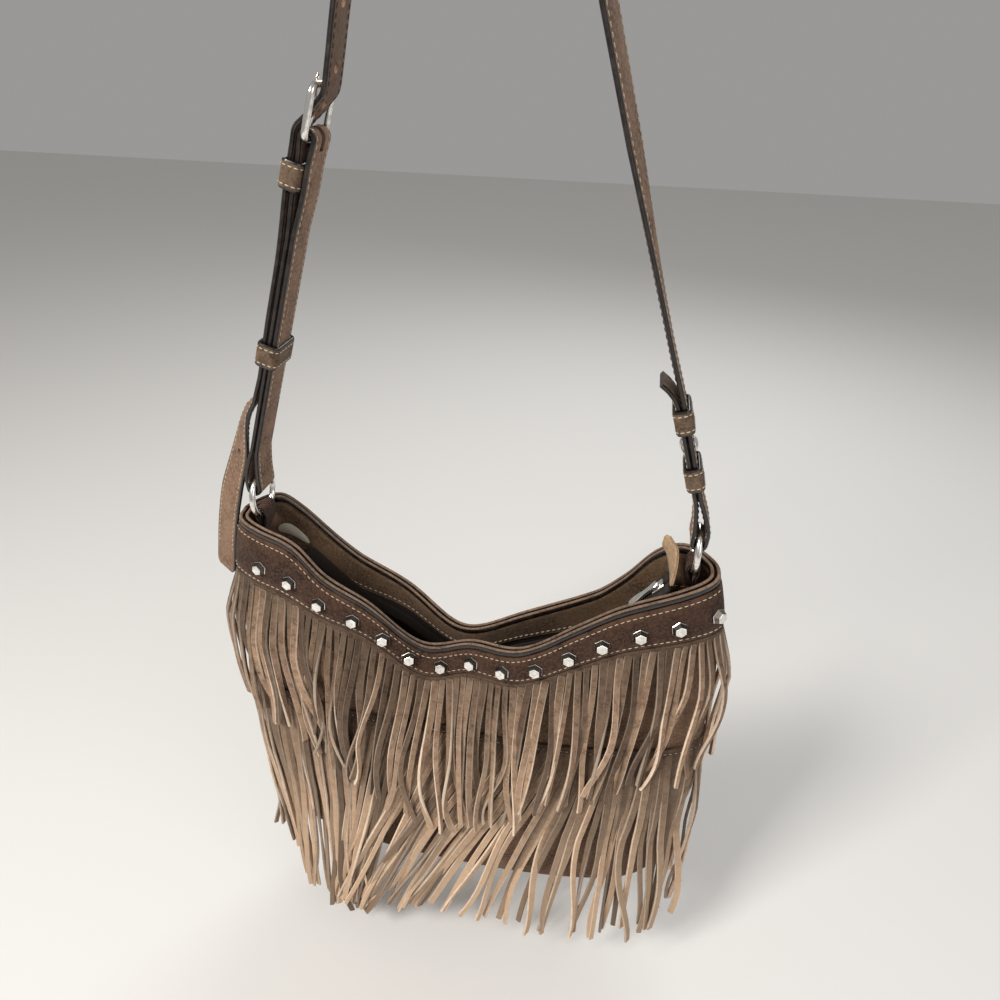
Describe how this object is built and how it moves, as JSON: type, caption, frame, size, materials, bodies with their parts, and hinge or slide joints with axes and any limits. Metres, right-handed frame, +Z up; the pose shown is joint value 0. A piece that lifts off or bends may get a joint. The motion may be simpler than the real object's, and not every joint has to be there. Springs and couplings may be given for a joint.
{
  "type": "fringed suede shoulder bag",
  "caption": "Soft suede shoulder bag hung by a buckled strap, with a scooped studded collar and two tiers of hanging fringe.",
  "frame": {"origin": "underside of the strap's highest point, where it lies on the hook or bar that holds the bag up", "axes": "+X along the bag to its right end as seen from the front, -Y the studded front, +Z up"},
  "size_m": [0.3423, 0.0941, 0.736],
  "materials": {
    "dark_suede": "brushed dark brown suede",
    "fringe_suede": "soft taupe suede with raw edges",
    "strap_leather": "suede face, painted edges",
    "edge_paint": "rounded dark painted edge",
    "lining_cloth": "dark woven cloth",
    "tan_leather": "plain tan leather",
    "nickel": "worn nickel plate"
  },
  "bodies": {
    "strap": {"strap_main": "strap_leather", "strap_short": "strap_leather", "buckle_frame": "nickel", "buckle_prong": "nickel", "keeper_sewn": "strap_leather", "strap_rivet": "nickel"},
    "bag": {"body_shell": "dark_suede", "lining": "lining_cloth", "collar_front": "dark_suede", "collar_back": "dark_suede", "facing_front": "dark_suede", "facing_back": "dark_suede", "rim_binding": "edge_paint", "fringe_upper_front": "fringe_suede", "fringe_upper_back": "fringe_suede", "fringe_lower_front": "fringe_suede", "fringe_lower_back": "fringe_suede", "tab_left": "dark_suede", "tab_right": "dark_suede", "zip_end_tab": "tan_leather", "zip_tape_front": "lining_cloth", "zip_tape_back": "lining_cloth", "stud_front_01": "nickel", "stud_front_02": "nickel", "stud_front_03": "nickel", "stud_front_04": "nickel", "stud_front_05": "nickel", "stud_front_06": "nickel", "stud_front_07": "nickel", "stud_front_08": "nickel", "stud_front_09": "nickel", "stud_front_10": "nickel", "stud_front_11": "nickel", "stud_front_12": "nickel", "stud_front_13": "nickel", "stud_front_14": "nickel", "stud_front_15": "nickel", "stud_back_01": "nickel", "stud_back_02": "nickel", "stud_back_03": "nickel", "stud_back_04": "nickel", "stud_back_05": "nickel", "stud_back_06": "nickel", "stud_back_07": "nickel", "stud_back_08": "nickel", "stud_back_09": "nickel", "stud_back_10": "nickel", "stud_back_11": "nickel", "stud_back_12": "nickel", "stud_back_13": "nickel"},
    "left_ring": {"ring_left": "nickel"},
    "right_ring": {"ring_right": "nickel"},
    "left_band": {"keeper_left": "strap_leather"},
    "right_upper_band": {"keeper_right_upper": "strap_leather"},
    "right_lower_band": {"keeper_right_lower": "strap_leather"},
    "slider": {"zip_slider": "nickel"},
    "pull": {"zip_pull": "nickel"}
  },
  "joints": [
    {"name": "bag_rock", "type": "hinge", "parent": "strap", "child": "bag", "pos_m": [0, 0, -0.36797], "axis": [1, 0, 0], "range_deg": [-50, 50]},
    {"name": "left_ring_turn", "type": "hinge", "parent": "strap", "child": "left_ring", "pos_m": [-0.1314, 0, -0.36797], "axis": [1, 0, 0], "continuous": true},
    {"name": "right_ring_turn", "type": "hinge", "parent": "strap", "child": "right_ring", "pos_m": [0.1314, 0, -0.36797], "axis": [1, 0, 0], "continuous": true},
    {"name": "left_band_slide", "type": "slide", "parent": "strap", "child": "left_band", "axis": [0.3024, 0, 0.9532], "range_m": [-0.016, 0.035]},
    {"name": "right_upper_band_slide", "type": "slide", "parent": "strap", "child": "right_upper_band", "axis": [-0.3024, 0, 0.9532], "range_m": [-0.004, 0]},
    {"name": "right_lower_band_slide", "type": "slide", "parent": "strap", "child": "right_lower_band", "axis": [-0.3024, 0, 0.9532], "range_m": [-0.005, 0.004]},
    {"name": "zip_slide", "type": "slide", "parent": "bag", "child": "slider", "axis": [-0.6227, -0.029, -0.782], "range_m": [0, 0.05]},
    {"name": "pull_turn", "type": "hinge", "parent": "slider", "child": "pull", "pos_m": [0.11224, -0.00223, -0.39601], "axis": [0, 1, 0], "range_deg": [0, 100]}
  ]
}
